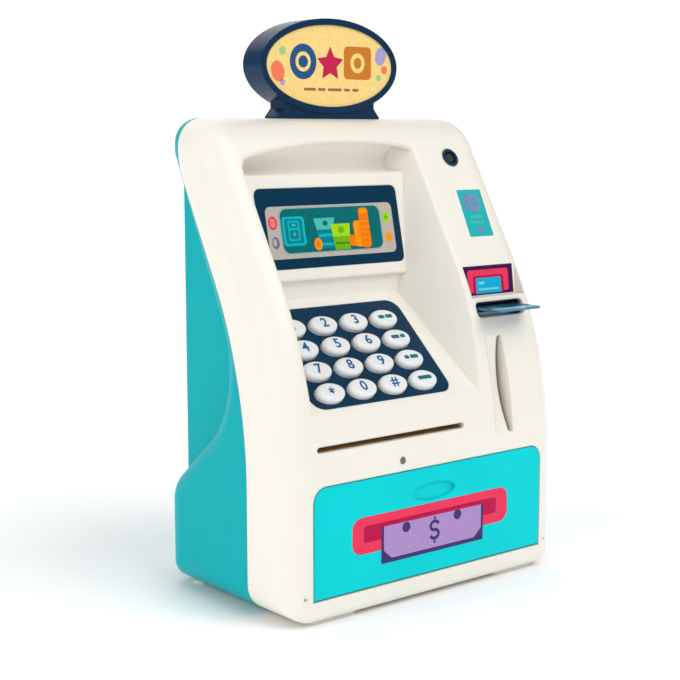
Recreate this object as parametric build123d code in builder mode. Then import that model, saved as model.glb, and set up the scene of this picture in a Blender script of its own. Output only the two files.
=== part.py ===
from math import cos, radians, sin, tan
import os

from build123d import *

# Toy ATM savings bank, millimetres, +Z up. The origin is under the middle of the body, on the
# surface that the feet stand on. The front faces -Y.

# ---- driving dimensions ----------------------------------------------------------------------
WIDTH = 154.0
DEPTH = 90.0
FOOT = 1.8                      # height of the feet under the shells
TOP = 201.2                     # flat top of the head
WALL = 2.0
GAP = 0.4                       # clearance round moving and removable parts

FRONT = -DEPTH / 2
REAR = DEPTH / 2
LEAN = 30.0                     # the upper front leans back by this angle
BEND_Z = 52.0                   # the front is upright below this height
BEND_R = 175.0
SEAM = 28.0                     # depth of the front shell
HEAD_SEAM = 74.5                # in the head the seam is upright, this far behind the front
HEAD_REAR = 40.0
EDGE_R = 12.0                   # rounding of the side edges of the front and top
MOUTH_R = 1.6                   # rounding of the edge of the bay
BOX_W = 128.0                   # rear box, narrower than the side panels
BOX_TOP = 188.0

KEY_TILT = 42.4                 # slope of the keypad
KEY_PITCH_X = 16.8
KEY_PITCH_UP = 11.5
KEY_LONG, KEY_SHORT = 14.2, 9.4
KEY_COLS, KEY_ROWS = 4, 4
KEY_TOP = 2.9                   # height of a key above its panel
KEYPAD_X = -23.7                # middle of the keys
PANEL_X, PANEL_W, PANEL_H, PANEL_T = -22.0, 75.0, 52.4, 0.8

SCREEN_TILT = 12.3
SCREEN_X = -15.4                # middle of the screen
WINDOW_W, WINDOW_H, WINDOW_T = 78.0, 34.2, 1.2
WINDOW_LOW = 5.7                # lower edge of the window above that of its surround

NOTE_X, NOTE_W, NOTE_Z, NOTE_H = -22.1, 80.0, 71.5, 2.4
COIN_X, COIN_W, COIN_LOW, COIN_HIGH = 46.2, 2.4, 65.0, 107.0
SCOOP_R, SCOOP_W, SCOOP_SINK = 68.0, 10.2, 3.45   # hollow for the coin slot, which runs along its right side
CARD_X, CARD_W, CARD_Z, CARD_T = 51.4, 27.0, 118.8, 0.9
CARD_LEN, CARD_OUT, GUIDE_H = 44.0, 13.0, 4.8
CARD_HOLE_H, CARD_HOLE_Z = 6.4, CARD_Z - 0.6
POCKET_X, POCKET_W, POCKET_LOW, POCKET_HIGH = 52.65, 33.0, 123.4, 137.0   # upright panel over the card slot
POCKET_TILT = 7.0
LENS_X, LENS_Z, LENS_R = 54.0, 183.8, 4.3
LED_X, LED_Z, LED_R = -17.6, 61.4, 1.5

DOOR_W, DOOR_LOW, DOOR_HIGH, DOOR_T = 129.2, 10.7, 56.5, 2.5
RECESS_Z, RECESS_W, RECESS_H = 46.0, 24.0, 7.4    # finger recess of the door
HINGE_Y, HINGE_Z, HINGE_R = FRONT + 1.5, 12.4, 0.9
LOCK_X, LOCK_Y = -44.0, FRONT + 6.4

DRIVE_Y, DRIVE_Z, DRIVE_R = -28.0, 65.8, 5.0      # lower feed roller
PINCH_R = 4.0
SHAFT_R = 1.5
RUNNING = 0.05                  # radial clearance of a turning shaft
GEAR_TEETH, PINION_TEETH = 16, 8
GEAR_X, GEAR_W = 23.5, 3.2
GEAR_DIST = 12.2                # from the roller gear's axis to the pinion's

SIGN_Y, SIGN_DEEP, SIGN_BACK_T = 23.4, 13.4, 1.6
SIGN_Z, SIGN_W, SIGN_H = 224.1, 76.6, 41.0
SIGN_RIM = 2.8

BATTERY_Z, COVER_W, COVER_H = 92.0, 64.0, 58.0
COVER_SCREW_Z = BATTERY_Z + 25.7
CELL_R, CELL_LEN, CELL_PITCH = 7.1, 49.0, 15.2
SPEAKER_Z, SPEAKER_R = 140.0, 14.0
SWITCH_X, SWITCH_Z = 46.0, 140.0
BOARD_LEFT, BOARD_RIGHT, BOARD_LOW, BOARD_TOP = -50.0, 30.0, 126.0, 172.0
BOARD_Y, BOARD_T = 23.0, 1.6

# ---- places worked out from them -------------------------------------------------------------
LEAN_Y = FRONT + BEND_R * (1 - cos(radians(LEAN)))
LEAN_Z = BEND_Z + BEND_R * sin(radians(LEAN))
LEAN_TAN = tan(radians(LEAN))
LEAN_ALONG = Vector(0, sin(radians(LEAN)), cos(radians(LEAN)))
CROWN_Y = LEAN_Y + (TOP - LEAN_Z) * LEAN_TAN
DOOR_MID = (DOOR_LOW + DOOR_HIGH) / 2
PINION_Y = DRIVE_Y + GEAR_DIST
PINCH_Z = DRIVE_Z + DRIVE_R + PINCH_R + 1.3
TENON_Y = FRONT + HEAD_SEAM
NOTE_LEFT, NOTE_RIGHT = NOTE_X - NOTE_W / 2, NOTE_X + NOTE_W / 2
FEED_FRONT, FEED_BACK = FRONT + 5.2, -17.0        # ends of the banknote guide
SIDE = Plane.YZ


def front_y(z):
    """Y of the front face at height z, below the rounding of the head."""
    if z <= BEND_Z:
        return FRONT
    if z <= LEAN_Z:
        rise = (z - BEND_Z) / BEND_R
        return FRONT + BEND_R * (1 - (1 - rise**2) ** 0.5)
    return LEAN_Y + (z - LEAN_Z) * LEAN_TAN


def seam_y(z):
    """Y of the seam between the shells at height z."""
    return min(front_y(z) + SEAM, FRONT + HEAD_SEAM)


def upright(y):
    """Upright plane at y whose sketches are drawn as x and z."""
    return Plane.XZ.offset(-y)


def tilted_plane(x, y, z, tilt, up, out):
    """Plane that leans back by tilt degrees, moved up its own slope and out along its normal."""
    normal = Vector(0, -cos(radians(tilt)), sin(radians(tilt)))
    slope = Vector(0, sin(radians(tilt)), cos(radians(tilt)))
    return Plane(origin=Vector(x, y, z) + slope * up + normal * out, x_dir=(1, 0, 0), z_dir=normal)


def lean_plane(x, z, out=0.0):
    """Plane on the leaning front face at (x, z)."""
    return tilted_plane(x, front_y(z), z, LEAN, 0, out)


def key_plane(up=0.0, out=0.0, x=KEYPAD_X):
    """Plane on the keypad, measured up the slope from the middle of the top key row."""
    return tilted_plane(x, FRONT + 35.6, 114.35, 90 - KEY_TILT, up, out)


def screen_plane(up=0.0, out=0.0):
    """Plane on the screen surround, measured up from its lower edge."""
    return tilted_plane(SCREEN_X, FRONT + 44.5, 133.0, SCREEN_TILT, up, out)


def side_outline(inset=0.0):
    """Side view of the body without its rear box, as a sketch on the YZ plane."""
    corners = ((CROWN_Y, TOP, 20.0), (HEAD_REAR, TOP, 8.0), (HEAD_REAR, 185.5, 10.0),
               (-7.5, 89.4, 40.0), (REAR, 45.0, 16.0), (REAR, FOOT, 5.0), (FRONT, FOOT, 3.0))
    with BuildSketch(SIDE) as outline:
        with BuildLine():
            Line((FRONT, FOOT), (FRONT, BEND_Z))
            CenterArc((FRONT + BEND_R, BEND_Z), BEND_R, 180, -LEAN)
            Polyline((LEAN_Y, LEAN_Z), *[(y, z) for y, z, _ in corners])
        make_face()
        for y, z, radius in corners:
            fillet(outline.vertices().sort_by_distance(Vector(y, z))[0], radius)
        if inset:
            offset(amount=-inset)
    return outline.sketch


def on_shoulder(edge, inset):
    """True for the side edges along the front face, the head's crown and its flat top."""
    middle = edge @ 0.5
    if middle.Z < FOOT + 1 + inset:
        return False
    if middle.Z < LEAN_Z:
        return middle.Y < front_y(middle.Z) + 1.2 * inset + 0.5
    crown = middle.Y < front_y(min(middle.Z, TOP)) + 1.3 * inset + 9
    return crown or middle.Z > TOP - inset - 0.5


def hull(inset=0.0):
    """The whole body as a solid; with an inset it is the space inside walls that thick."""
    half = WIDTH / 2 - inset
    with BuildPart() as body:
        extrude(side_outline(inset), amount=half, both=True)
        sides = body.edges().filter_by(lambda e: abs(abs(e.center().X) - half) < 0.01)
        fillet([edge for edge in sides if on_shoulder(edge, inset)], EDGE_R - inset)
        # rear box between the side panels, rounded at the top
        with BuildSketch(SIDE) as box:
            with BuildLine():
                Polyline((-5, FOOT), (-5, 150), (20, BOX_TOP), (REAR, BOX_TOP), (REAR, FOOT), close=True)
            make_face()
            fillet(box.vertices().sort_by_distance(Vector(REAR, BOX_TOP))[0], 14)
            fillet(box.vertices().sort_by_distance(Vector(REAR, FOOT))[0], 5)
            if inset:
                offset(amount=-inset)
        extrude(amount=BOX_W / 2 - inset, both=True)
    return body.part


def front_zone():
    """Everything in front of the seam between the two shells."""
    bend_end = FRONT + HEAD_SEAM
    seam_z = LEAN_Z + (bend_end - SEAM - LEAN_Y) / LEAN_TAN
    with BuildPart() as zone:
        with BuildSketch(SIDE):
            with BuildLine():
                Line((FRONT + SEAM, -5), (FRONT + SEAM, BEND_Z))
                CenterArc((FRONT + SEAM + BEND_R, BEND_Z), BEND_R, 180, -LEAN)
                Polyline((LEAN_Y + SEAM, LEAN_Z), (bend_end, seam_z), (bend_end, TOP + 10),
                         (FRONT - 10, TOP + 10), (FRONT - 10, -5), (FRONT + SEAM, -5))
            make_face()
        extrude(amount=WIDTH, both=True)
    return zone.part


def bay(grow=0.0):
    """Space of the screen and keypad bay; grow gives the same space with its walls added."""
    key_rise = tan(radians(KEY_TILT))
    floor_y, floor_z = FRONT + 47.4, 125.1
    ledge_y, roof_z, out_y = FRONT + 64.0, 190.4, FRONT - 15.0
    screen_foot = (FRONT + 44.5, 133.0)
    screen_head = (FRONT + 54.3, 177.6)
    left, right, arch_left, arch_right = -63.0, 34.8, 183.5, 188.0
    with BuildPart() as space:
        # side view: sloping keypad floor, screen surround, ledge and roof
        with BuildSketch(SIDE) as side:
            with BuildLine():
                Polyline((out_y, floor_z - (floor_y - out_y) * key_rise), (floor_y, floor_z),
                         (floor_y, screen_foot[1]), screen_foot, screen_head,
                         (ledge_y, 179.0), (ledge_y, roof_z), (out_y, roof_z), close=True)
            make_face()
            for y, z, radius in ((floor_y, floor_z, 1.5), (*screen_foot, 1.2), (*screen_head, 2.0),
                                 (ledge_y, 179.0, 3.0), (ledge_y, roof_z, 6.0)):
                fillet(side.vertices().sort_by_distance(Vector(y, z))[0], radius)
            if grow:
                offset(amount=grow)
        extrude(amount=WIDTH, both=True)
        # side walls, the right-hand one flared towards the front
        with BuildSketch(Plane(origin=(0, LEAN_Y, LEAN_Z), x_dir=(1, 0, 0), z_dir=LEAN_ALONG)):
            with BuildLine():
                Polyline((-65.8, -40), (51.5, -40), (10.9, 50), (-59.5, 50), close=True)
            make_face()
            if grow:
                offset(amount=grow, kind=Kind.INTERSECTION)
        extrude(amount=WIDTH, both=True, mode=Mode.INTERSECT)
        # arched head of the opening
        with BuildSketch(Plane.XZ) as arch:
            with BuildLine():
                Polyline((left, arch_left), (left, 60), (right, 60), (right, arch_right))
                ThreePointArc((right, arch_right), (-8, roof_z), (left, arch_left))
            make_face()
            for x, z, radius in ((right, arch_right, 7.0), (left, arch_left, 6.0)):
                fillet(arch.vertices().sort_by_distance(Vector(x, z))[0], radius)
            if grow:
                offset(amount=grow)
        extrude(amount=DEPTH, both=True, mode=Mode.INTERSECT)
    return space.part


def on_mouth(edge):
    """True for the edges where the bay breaks through the front face."""
    middle = edge @ 0.5
    return abs(middle.Y - front_y(middle.Z)) < 0.6 and BAY.distance_to(middle) < 0.01


def coin_scoop(grow=0.0):
    """Shallow hollow for the coin slot; grow gives the same shape with its wall added."""
    low, high = (Vector(0, front_y(z), z) for z in (COIN_LOW, COIN_HIGH))
    along = (high - low).normalized()
    outward = Vector(0, -along.Z, along.Y)
    centre = (low + high) / 2 + outward * (SCOOP_R - SCOOP_SINK)
    right = COIN_X + COIN_W / 2 + grow
    with BuildPart() as scoop:
        with BuildSketch(SIDE.offset(right)):
            with Locations((centre.Y, centre.Z)):
                Circle(SCOOP_R + grow)
        extrude(amount=-(SCOOP_W + 2 * grow))
    return scoop.part


def card_pocket(grow=0.0):
    """Wedge-shaped hollow over the card slot; grow gives the same shape with its wall added."""
    top_y = front_y(POCKET_HIGH)
    low_y = top_y - (POCKET_HIGH - POCKET_LOW) * tan(radians(POCKET_TILT))
    with BuildPart() as pocket:
        with BuildSketch(SIDE.offset(POCKET_X)) as wedge:
            with BuildLine():
                Polyline((top_y, POCKET_HIGH), (low_y, POCKET_LOW), (FRONT - 10, POCKET_LOW),
                         (FRONT - 10, POCKET_HIGH), close=True)
            make_face()
            if grow:
                offset(amount=grow, kind=Kind.INTERSECTION)
        extrude(amount=POCKET_W / 2 + grow, both=True)
    return pocket.part


def key_spots():
    """Planes at the middle of each key, row by row from the top left."""
    spots = []
    for row in range(KEY_ROWS):
        for col in range(KEY_COLS):
            x = KEYPAD_X + (col - (KEY_COLS - 1) / 2) * KEY_PITCH_X
            spots.append(key_plane(-row * KEY_PITCH_UP, 0, x))
    return spots


def rod(plane, radius, length, y, z, mode=Mode.ADD):
    """Round bar along X from a YZ plane, or a bore when subtracted."""
    with BuildSketch(plane) as section:
        with Locations((y, z)):
            Circle(radius)
    extrude(section.sketch, amount=length, mode=mode)


def post(x, z, y_from, y_to, radius, mode=Mode.ADD):
    """Round post or bore along Y between two depths."""
    with BuildSketch(upright(y_from)) as section:
        with Locations((x, z)):
            Circle(radius)
    extrude(section.sketch, amount=y_from - y_to, mode=mode)


def block(x, y, z, mode=Mode.ADD):
    """Box between two limits on each axis, each given as a pair."""
    with BuildSketch(Plane.XY.offset(z[0])) as base:
        with Locations(((x[0] + x[1]) / 2, (y[0] + y[1]) / 2)):
            Rectangle(x[1] - x[0], y[1] - y[0])
    extrude(base.sketch, amount=z[1] - z[0], mode=mode)


def export(piece, name):
    """Label a finished piece and write it to its own file."""
    piece.part.label = name
    export_step(piece.part, f"parts/{name}.step")


HULL = hull()
CAVITY = hull(WALL)
FRONT_ZONE = front_zone()
BAY = bay()
KEYS = key_spots()
KEYPAD_UP = -KEY_PITCH_UP * (KEY_ROWS - 1) / 2
PANEL_UP = KEYPAD_UP + 2.25
WINDOW_UP = WINDOW_LOW + WINDOW_H / 2

# case screws: x, z and the depth where the rear post ends
SCREWS = []
for hand in (-1, 1):
    SCREWS.append((hand * 70.6, 21.0, REAR))
    SCREWS.append((hand * 70.6, 98.0, 2.0))
    SCREWS.append((hand * 63.5, 190.5, HEAD_REAR))
POST_R, PILOT_R, SCREW_R, SCREW_HEAD_R = 3.4, 1.15, 1.45, 2.6
SCREW_SEAT = 5.0                # thickness under the screw head, behind the seam

os.makedirs("parts", exist_ok=True)

# ---- shells ----------------------------------------------------------------------------------
CARD_FACE = front_y(CARD_Z)
with BuildPart() as outside:
    add(HULL)
    add(BAY, mode=Mode.SUBTRACT)
    fillet([edge for edge in outside.edges() if on_mouth(edge)], MOUTH_R)
    add(coin_scoop(), mode=Mode.SUBTRACT)
    add(card_pocket(), mode=Mode.SUBTRACT)

with BuildPart() as bay_walls:
    add(bay(WALL))
    add(HULL, mode=Mode.INTERSECT)

with BuildPart() as front_shell:
    add(HULL)
    add(CAVITY, mode=Mode.SUBTRACT)
    add(FRONT_ZONE, mode=Mode.INTERSECT)
    add(bay_walls.part)
    add(coin_scoop(WALL))
    add(card_pocket(WALL))
    for x, z, _ in SCREWS:
        post(x, z, front_y(z) + 1, seam_y(z), POST_R)
    # hinge blocks, and ribs that carry the banknote guide and, from below, the card guide
    for hand in (-1, 1):
        block((hand * 67.6 - 1.8, hand * 67.6 + 1.8), (FRONT + 1, FRONT + 5.1), (8.0, 15.6))
    for x in (NOTE_LEFT - 1.5, NOTE_RIGHT + 1.5):
        block((x - 1, x + 1), (FRONT + 1, FEED_FRONT - 0.05), (NOTE_Z - 9, NOTE_Z + 8.8))
    block((CARD_X - 10, CARD_X + 10), (CARD_FACE + 0.5, CARD_FACE + 16),
          (CARD_Z - 5.4, CARD_Z - GUIDE_H / 2 - 0.05))
    add(outside.part, mode=Mode.INTERSECT)
    # door opening, rounded at the top, and the bores for the hinge pins
    with BuildSketch(upright(FRONT - 1)) as opening:
        with Locations((0, DOOR_MID)):
            Rectangle(DOOR_W + 2 * GAP, DOOR_HIGH - DOOR_LOW + 2 * GAP)
        fillet(opening.vertices().group_by(Axis.Y)[-1], 6.5)
    extrude(amount=-(WALL + 5), mode=Mode.SUBTRACT)
    rod(SIDE.offset(-69.0), HINGE_R + RUNNING, 138.0, HINGE_Y, HINGE_Z, Mode.SUBTRACT)
    # banknote slot, coin slot and card slot
    with BuildSketch(upright(FRONT - 1)):
        with Locations((NOTE_X, NOTE_Z)):
            SlotOverall(NOTE_W, NOTE_H)
        with Locations((COIN_X, (COIN_LOW + COIN_HIGH) / 2)):
            SlotOverall(COIN_HIGH - COIN_LOW, COIN_W, rotation=90)
    extrude(amount=-16, mode=Mode.SUBTRACT)
    with BuildSketch(upright(FRONT - 1)) as card_hole:
        with Locations((CARD_X, CARD_HOLE_Z)):
            RectangleRounded(CARD_W + 2.6, CARD_HOLE_H, 2.2)
    extrude(amount=-19, mode=Mode.SUBTRACT)
    # round holes for the status light and the lens
    post(LED_X, LED_Z, FRONT - 1, FRONT + 6, LED_R + 0.1, Mode.SUBTRACT)
    with BuildSketch(lean_plane(LENS_X, LENS_Z)):
        Circle(LENS_R + 0.1)
    extrude(amount=6, both=True, mode=Mode.SUBTRACT)
    # seats and openings of the screen window and the keypad
    with BuildSketch(screen_plane(WINDOW_UP, -WINDOW_T)):
        RectangleRounded(WINDOW_W + 0.2, WINDOW_H + 0.2, 3.1)
    extrude(amount=WINDOW_T + 1, mode=Mode.SUBTRACT)
    with BuildSketch(screen_plane(WINDOW_UP)):
        RectangleRounded(WINDOW_W - 7, WINDOW_H - 7, 2)
    extrude(amount=-6, mode=Mode.SUBTRACT)
    with BuildSketch(key_plane(PANEL_UP, -PANEL_T, PANEL_X)):
        RectangleRounded(PANEL_W + 0.2, PANEL_H + 0.2, 6.1)
    extrude(amount=PANEL_T + 0.5, mode=Mode.SUBTRACT)
    for spot in KEYS:
        with BuildSketch(spot):
            Ellipse(KEY_LONG / 2 + 0.3, KEY_SHORT / 2 + 0.3)
        extrude(amount=-4, mode=Mode.SUBTRACT)
    block((-12.2, 12.2), (TENON_Y - 3.2, TENON_Y + 3.2), (TOP - 8, TOP + 2), Mode.SUBTRACT)
    for x, z, _ in SCREWS:
        post(x, z, seam_y(z) - 9, seam_y(z) + 1, PILOT_R, Mode.SUBTRACT)
export(front_shell, "front_shell")

with BuildPart() as rear_shell:
    add(HULL)
    add(CAVITY, mode=Mode.SUBTRACT)
    add(FRONT_ZONE, mode=Mode.SUBTRACT)
    for x, z, back in SCREWS:
        post(x, z, seam_y(z) + 0.05, back, POST_R)
    # posts of the main board and the ring round the speaker
    for x in (BOARD_LEFT + 4, BOARD_RIGHT - 4):
        for z in (BOARD_LOW + 4, BOARD_TOP - 4):
            post(x, z, BOARD_Y + BOARD_T + 0.05, REAR - 1, 2.5)
    post(0, SPEAKER_Z, REAR - WALL - 6.5, REAR - 1, SPEAKER_R + 1.8)
    post(0, SPEAKER_Z, REAR - WALL - 7, REAR - WALL, SPEAKER_R + 0.2, Mode.SUBTRACT)
    add(HULL, mode=Mode.INTERSECT)
    for x, z, back in SCREWS:
        post(x, z, seam_y(z) - 2, back + 1, SCREW_R + 0.15, Mode.SUBTRACT)
        post(x, z, seam_y(z) + SCREW_SEAT, back + 9, SCREW_HEAD_R + 0.2, Mode.SUBTRACT)
    block((-12.2, 12.2), (TENON_Y - 3.2, TENON_Y + 3.2), (TOP - 8, TOP + 2), Mode.SUBTRACT)
    # battery cover opening, speaker grille and power switch slot in the rear face
    with BuildSketch(upright(REAR - 5)):
        with Locations((0, BATTERY_Z)):
            RectangleRounded(COVER_W + 2 * GAP, COVER_H + 2 * GAP, 3)
        with Locations((SWITCH_X, SWITCH_Z)):
            Rectangle(11.0, 5.0)
        for ring, count in ((0.0, 1), (4.5, 6), (9.0, 12)):
            with Locations((0, SPEAKER_Z)):
                with PolarLocations(ring, count):
                    Circle(1.1)
    extrude(amount=-10, mode=Mode.SUBTRACT)
export(rear_shell, "rear_shell")

with BuildPart() as feet:
    with BuildSketch(Plane.XY):
        with Locations((-52.0, FRONT + 7), (52.0, FRONT + 7), (-56.0, REAR - 12), (56.0, REAR - 12)):
            SlotOverall(26.0, 8.0)
    extrude(amount=FOOT)
export(feet, "feet")

# ---- sign ------------------------------------------------------------------------------------
with BuildPart() as sign_housing:
    with BuildSketch(upright(SIGN_Y)):
        with Locations((0, SIGN_Z)):
            Ellipse(SIGN_W / 2, SIGN_H / 2)
    extrude(amount=-(SIGN_DEEP - SIGN_BACK_T))
    # neck, flared where it meets the head
    with BuildSketch(upright(SIGN_Y + 1.0)):
        with BuildLine():
            Polyline((-28.5, TOP - 6), (-28.5, TOP + 0.8), (-25.4, TOP + 4.5), (-25.4, SIGN_Z - 10),
                     (25.4, SIGN_Z - 10), (25.4, TOP + 4.5), (28.5, TOP + 0.8), (28.5, TOP - 6),
                     close=True)
        make_face()
    extrude(amount=-(SIGN_DEEP - SIGN_BACK_T - 1.6))
    add(HULL, mode=Mode.SUBTRACT)
    # seat of the face, then the hollow that opens to the back
    with BuildSketch(upright(SIGN_Y)):
        with Locations((0, SIGN_Z)):
            Ellipse(SIGN_W / 2 - SIGN_RIM, SIGN_H / 2 - SIGN_RIM)
    extrude(amount=-1.6, mode=Mode.SUBTRACT)
    with BuildSketch(upright(SIGN_Y + 3.4)):
        with Locations((0, SIGN_Z)):
            Ellipse(SIGN_W / 2 - WALL, SIGN_H / 2 - WALL)
    extrude(amount=-20, mode=Mode.SUBTRACT)
    # tenon and its foot, caught between the shells
    block((-12.0, 12.0), (TENON_Y - 3.0, TENON_Y + 3.0), (TOP - 6, TOP + 1.5))
    block((-15.0, 15.0), (TENON_Y - 4.0, TENON_Y + 4.0), (TOP - 6, TOP - 3.2))
export(sign_housing, "sign_housing")

with BuildPart() as sign_back:
    with BuildSketch(upright(SIGN_Y + SIGN_DEEP)):
        with Locations((0, SIGN_Z)):
            Ellipse(SIGN_W / 2, SIGN_H / 2)
    extrude(amount=SIGN_BACK_T)
export(sign_back, "sign_back")

with BuildPart() as sign_face:
    with BuildSketch(upright(SIGN_Y + 0.6)):
        with Locations((0, SIGN_Z)):
            Ellipse(SIGN_W / 2 - SIGN_RIM, SIGN_H / 2 - SIGN_RIM)
    extrude(amount=-1.0)
export(sign_face, "sign_face")

# ---- screen ----------------------------------------------------------------------------------
with BuildPart() as screen_window:
    with BuildSketch(screen_plane(WINDOW_UP, -WINDOW_T)):
        RectangleRounded(WINDOW_W, WINDOW_H, 3)
    extrude(amount=WINDOW_T)
export(screen_window, "screen_window")

with BuildPart() as lcd_panel:
    with BuildSketch(screen_plane(WINDOW_UP, -WALL - 2.9)):
        Rectangle(WINDOW_W - 2, WINDOW_H - 2)
    extrude(amount=2.8)
export(lcd_panel, "lcd_panel")

# ---- keypad ----------------------------------------------------------------------------------
with BuildPart() as keypad_panel:
    with BuildSketch(key_plane(PANEL_UP, -PANEL_T, PANEL_X)):
        RectangleRounded(PANEL_W, PANEL_H, 6)
    extrude(amount=PANEL_T)
    for spot in KEYS:
        with BuildSketch(spot.offset(0.5)):
            Ellipse(KEY_LONG / 2 + 0.3, KEY_SHORT / 2 + 0.3)
        extrude(amount=-2, mode=Mode.SUBTRACT)
export(keypad_panel, "keypad_panel")

FLANGE_T, FLANGE_OUT = 0.9, -WALL - 1.2
for number, spot in enumerate(KEYS, start=1):
    with BuildPart() as key:
        with BuildSketch(spot.offset(FLANGE_OUT)):
            Ellipse(KEY_LONG / 2 + 0.9, KEY_SHORT / 2 + 0.8)
        extrude(amount=FLANGE_T)
        with BuildSketch(spot.offset(FLANGE_OUT)):
            Ellipse(KEY_LONG / 2, KEY_SHORT / 2)
        extrude(amount=KEY_TOP - FLANGE_OUT)
        crown = key.faces().sort_by(Axis(spot.origin, spot.z_dir))[-1]
        fillet(crown.edges(), 1.9)
    export(key, f"key_{number:02d}")

MEMBRANE_OUT = -WALL - 3.6
KEYPAD_MID = key_plane(KEYPAD_UP, MEMBRANE_OUT)
BOARD_W, BOARD_H = 66.5, 46.5
with BuildPart() as key_membrane:
    with BuildSketch(KEYPAD_MID):
        RectangleRounded(BOARD_W, BOARD_H, 3)
    extrude(amount=-1.2)
    for spot in KEYS:
        with BuildSketch(spot.offset(MEMBRANE_OUT)):
            Circle(2.6)
        extrude(amount=0.9, taper=20)
export(key_membrane, "key_membrane")

with BuildPart() as keypad_board:
    with BuildSketch(KEYPAD_MID.offset(-1.2)):
        Rectangle(BOARD_W, BOARD_H)
    extrude(amount=-1.6)
export(keypad_board, "keypad_board")

# ---- right-hand column -----------------------------------------------------------------------
with BuildPart() as lens_ring:
    with BuildSketch(lean_plane(LENS_X, LENS_Z, -2.2)):
        Circle(LENS_R)
        Circle(LENS_R - 1.3, mode=Mode.SUBTRACT)
    extrude(amount=2.7)
export(lens_ring, "lens_ring")

with BuildPart() as lens:
    with BuildSketch(lean_plane(LENS_X, LENS_Z, -2.2)):
        Circle(LENS_R - 1.3)
    extrude(amount=1.2)
    with BuildSketch(lean_plane(LENS_X, LENS_Z, -1.0)):
        Circle(LENS_R - 1.5)
    extrude(amount=0.9, taper=35)
export(lens, "lens")

CARD_END = CARD_FACE - CARD_OUT + CARD_LEN
with BuildPart() as card:
    with BuildSketch(Plane.XY.offset(CARD_Z - CARD_T / 2)):
        with Locations((CARD_X, CARD_END - CARD_LEN / 2)):
            RectangleRounded(CARD_W, CARD_LEN, 2.6)
    extrude(amount=CARD_T)
export(card, "card")

with BuildPart() as card_guide:
    with BuildSketch(upright(CARD_FACE + 6.0)):
        with Locations((CARD_X, CARD_Z)):
            Rectangle(CARD_W + 6.0, GUIDE_H)
            Rectangle(CARD_W + 0.8, CARD_T + 0.8, mode=Mode.SUBTRACT)
    extrude(amount=-(CARD_END - CARD_FACE - 8.0))
export(card_guide, "card_guide")

with BuildPart() as card_switch:
    block((CARD_X - 7, CARD_X + 7), (CARD_END + 0.6, CARD_END + 7), (CARD_Z - 2.4, CARD_Z + 2.4))
export(card_switch, "card_switch")

with BuildPart() as status_led:
    post(LED_X, LED_Z, front_y(LED_Z) + 0.2, FRONT + 6.5, LED_R)
export(status_led, "status_led")

# ---- coin chute ------------------------------------------------------------------------------
CHUTE_LOW, CHUTE_BACK = 58.8, FRONT + 34.0
COIN_FRONT = front_y(COIN_HIGH)
with BuildPart() as coin_chute:
    with BuildSketch(SIDE.offset(COIN_X)):
        with BuildLine():
            Polyline((FRONT + 2.9, CHUTE_LOW), (FRONT + 2.9, 63.0), (COIN_FRONT + 2.8, COIN_HIGH + 2),
                     (CHUTE_BACK, 96.0), (CHUTE_BACK, CHUTE_LOW), close=True)
        make_face()
    extrude(amount=COIN_W / 2 + 1.6, both=True)
    with BuildSketch(SIDE.offset(COIN_X)):
        with BuildLine():
            Polyline((FRONT - 5, CHUTE_LOW - 5), (FRONT - 5, COIN_HIGH), (COIN_FRONT + 4.0, COIN_HIGH),
                     (CHUTE_BACK - 1.8, 94.0), (CHUTE_BACK - 1.8, CHUTE_LOW - 5), close=True)
        make_face()
    extrude(amount=COIN_W / 2, both=True, mode=Mode.SUBTRACT)
    add(HULL, mode=Mode.INTERSECT)
    add(coin_scoop(WALL + 0.05), mode=Mode.SUBTRACT)
export(coin_chute, "coin_chute")

# ---- banknote feeder -------------------------------------------------------------------------
FEED_MID, FEED_LONG = (FEED_FRONT + FEED_BACK) / 2, FEED_BACK - FEED_FRONT
PATH_H = NOTE_H + 0.6
ROLLER_GAP = 5.0                # from each end of the note's path to its rollers
with BuildPart() as note_guide:
    with BuildSketch(SIDE.offset(NOTE_X)):
        with Locations((FEED_MID, NOTE_Z)):
            Rectangle(FEED_LONG, PATH_H + 2.4)
            Rectangle(FEED_LONG, PATH_H, mode=Mode.SUBTRACT)
    extrude(amount=NOTE_W / 2 + 0.5, both=True)
    for plate_x in (NOTE_LEFT - 1.5, NOTE_RIGHT + 1.5):
        block((plate_x - 1, plate_x + 1), (FEED_FRONT, FEED_BACK), (NOTE_Z - 9.6, NOTE_Z + 9.4))
    for z, radius in ((DRIVE_Z, DRIVE_R), (PINCH_Z, PINCH_R)):
        span = NOTE_W - 2 * ROLLER_GAP + 2
        rod(SIDE.offset(NOTE_X - span / 2), radius + 0.5, span, DRIVE_Y, z, Mode.SUBTRACT)
        rod(SIDE.offset(NOTE_LEFT - 4), SHAFT_R + RUNNING, NOTE_W + 8, DRIVE_Y, z, Mode.SUBTRACT)
export(note_guide, "note_guide")

ROLLER_LEFT, ROLLER_LEN = NOTE_LEFT + ROLLER_GAP, NOTE_W - 2 * ROLLER_GAP
with BuildPart() as drive_roller:
    rod(SIDE.offset(ROLLER_LEFT), DRIVE_R, ROLLER_LEN, DRIVE_Y, DRIVE_Z)
    for groove in (-24, -8, 8, 24):
        with BuildSketch(SIDE.offset(NOTE_X + groove)):
            with Locations((DRIVE_Y, DRIVE_Z)):
                Circle(DRIVE_R + 1)
                Circle(DRIVE_R - 0.8, mode=Mode.SUBTRACT)
        extrude(amount=1.0, both=True, mode=Mode.SUBTRACT)
    rod(SIDE.offset(ROLLER_LEFT), SHAFT_R, ROLLER_LEN, DRIVE_Y, DRIVE_Z, Mode.SUBTRACT)
export(drive_roller, "drive_roller")

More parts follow.
